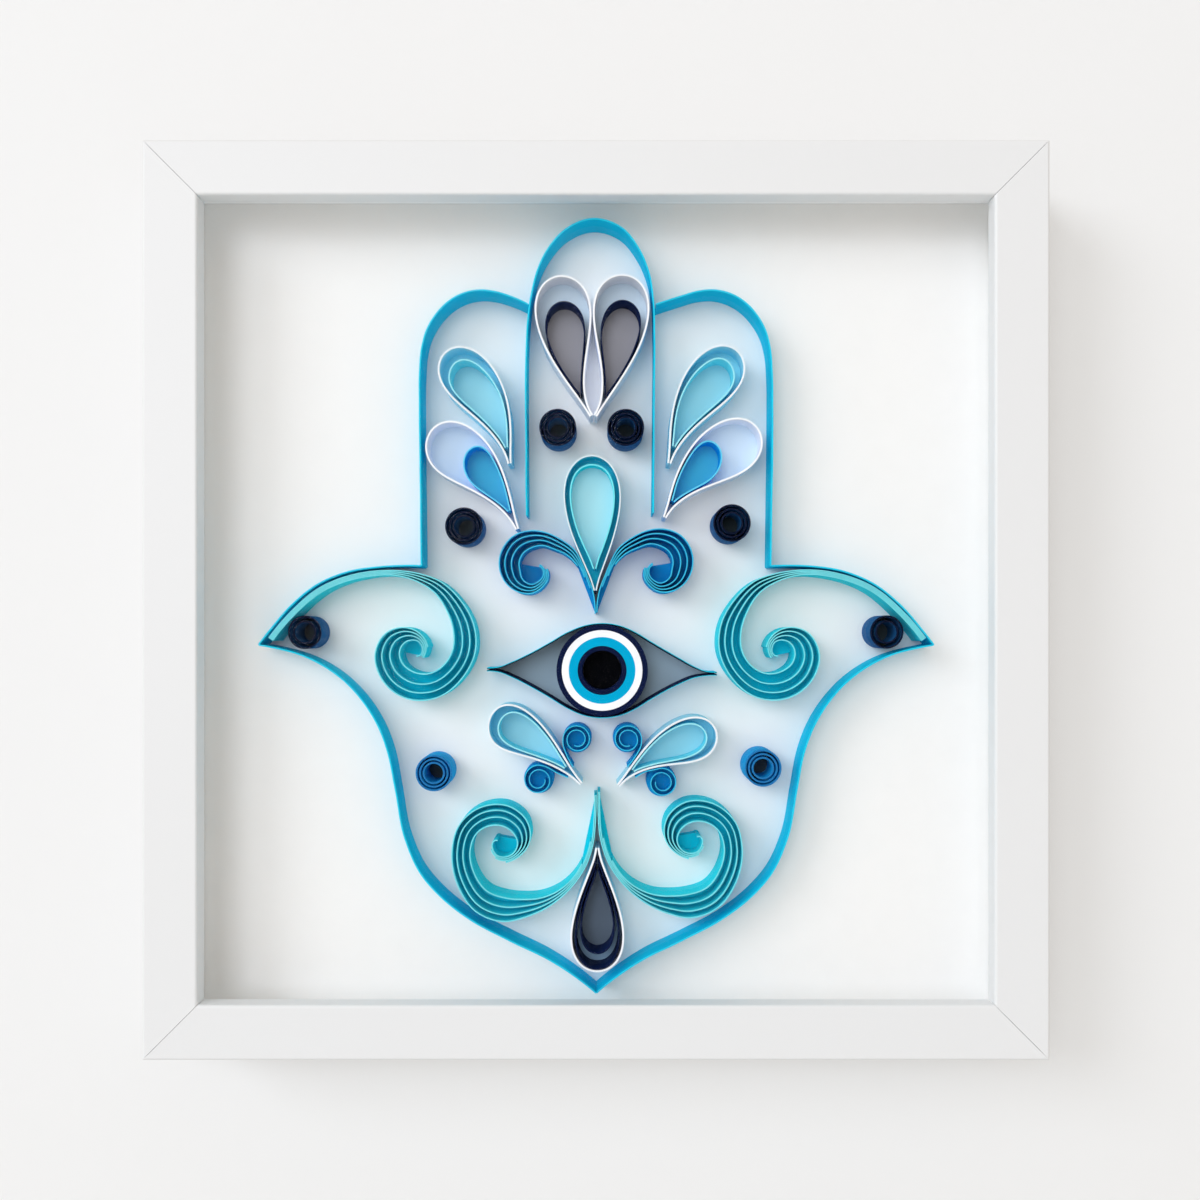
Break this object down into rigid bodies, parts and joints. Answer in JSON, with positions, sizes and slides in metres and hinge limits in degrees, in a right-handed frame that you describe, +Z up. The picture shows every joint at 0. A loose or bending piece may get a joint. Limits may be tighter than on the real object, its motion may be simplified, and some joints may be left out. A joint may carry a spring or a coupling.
{
  "type": "framed quilled paper art",
  "caption": "white box frame with a hand and eye motif made of coloured paper strips standing on edge",
  "frame": {"origin": "centre of the bounding box at its underside, under the middle of the frame", "axes": "+X to the viewer's right along the bottom rail, +Y towards the back, +Z up"},
  "size_m": [0.25, 0.03, 0.2535],
  "materials": {
    "frame_lacquer": "white satin lacquer on moulded fibreboard",
    "glazing": "clear sheet",
    "mount_card": "smooth white board",
    "spacer_card": "white card strip",
    "backing": "brown hardboard",
    "zinc_steel": "zinc plated",
    "sky_paper": "coloured through, with paler cut edges",
    "teal_paper": "coloured through, with paler cut edges",
    "blue_paper": "coloured through, with paler cut edges",
    "turquoise_paper": "coloured through",
    "azure_paper": "coloured through",
    "pale_blue_paper": "coloured through",
    "navy_paper": "coloured through",
    "white_paper": "white",
    "cyan_paper": "coloured through",
    "black_paper": "coloured through"
  },
  "bodies": {
    "root": {"backboard": "backing", "bottom_drop_inner": "navy_paper", "bottom_drop_liner": "navy_paper", "bottom_drop_outer": "white_paper", "bottom_rail": "frame_lacquer", "centre_drop_inner": "turquoise_paper", "centre_drop_outer": "turquoise_paper", "centre_scroll_left": "blue_paper", "centre_scroll_right": "blue_paper", "coil_base_left": "navy_paper", "coil_base_right": "navy_paper", "coil_finger_left": "navy_paper", "coil_finger_right": "navy_paper", "coil_palm_left": "navy_paper", "coil_palm_right": "navy_paper", "coil_thumb_left": "navy_paper", "coil_thumb_right": "navy_paper", "corner_v_nails": "zinc_steel", "curl_lower_left": "blue_paper", "curl_lower_right": "blue_paper", "curl_upper_left": "blue_paper", "curl_upper_right": "blue_paper", "eye_outline": "navy_paper", "eye_pupil": "black_paper", "eye_ring_cyan": "cyan_paper", "eye_ring_inner": "navy_paper", "eye_ring_navy": "navy_paper", "eye_ring_white": "white_paper", "framer_points": "zinc_steel", "glazing_sheet": "glazing", "hanger": "zinc_steel", "hanger_rivets": "zinc_steel", "heart_inner_left": "navy_paper", "heart_inner_right": "navy_paper", "heart_petal_left": "white_paper", "heart_petal_right": "white_paper", "leaf_inner_left": "pale_blue_paper", "leaf_inner_right": "pale_blue_paper", "leaf_outer_left": "white_paper", "leaf_outer_right": "white_paper", "left_rail": "frame_lacquer", "lower_drop_inner_left": "azure_paper", "lower_drop_inner_right": "azure_paper", "lower_drop_outer_left": "white_paper", "lower_drop_outer_right": "white_paper", "lower_scroll_left": "teal_paper", "lower_scroll_right": "teal_paper", "mount_board": "mount_card", "outline_left": "sky_paper", "outline_middle_finger": "sky_paper", "outline_right": "sky_paper", "right_rail": "frame_lacquer", "spacers": "spacer_card", "thumb_scroll_left": "teal_paper", "thumb_scroll_right": "teal_paper", "top_rail": "frame_lacquer", "upper_drop_inner_left": "turquoise_paper", "upper_drop_inner_right": "turquoise_paper", "upper_drop_outer_left": "white_paper", "upper_drop_outer_right": "white_paper"}
  },
  "joints": []
}
